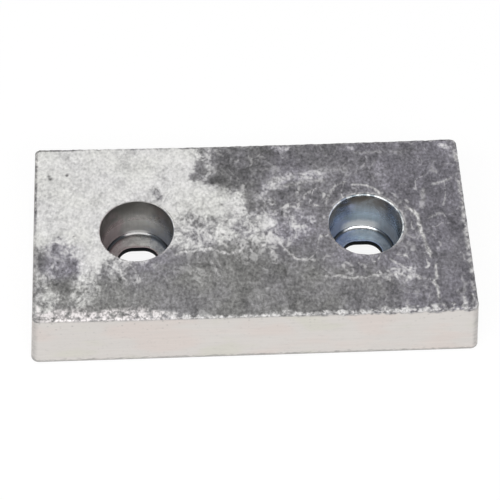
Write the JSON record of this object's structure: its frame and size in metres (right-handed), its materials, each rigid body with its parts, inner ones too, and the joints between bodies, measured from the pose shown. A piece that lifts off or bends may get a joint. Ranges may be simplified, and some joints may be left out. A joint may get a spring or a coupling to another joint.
{
  "type": "sacrificial anode",
  "caption": "Rectangular cast hull anode with a sunken wear face, bolted on through pressed steel cups that have slotted floors.",
  "frame": {"origin": "middle of the back face, which lies against the hull", "axes": "+X along the block and the row of studs, +Y across it, +Z out of the wear face"},
  "size_m": [0.1998, 0.0998, 0.03],
  "materials": {
    "cast_alloy": "as cast, dull grey oxide skin with pale patches on the wear face, smoother pale sides",
    "zinc_plated_steel": "zinc plated with a clear blue passivate"
  },
  "bodies": {
    "root": {"anode_casting": "cast_alloy", "insert_cup_left": "zinc_plated_steel", "insert_cup_right": "zinc_plated_steel"}
  },
  "joints": []
}
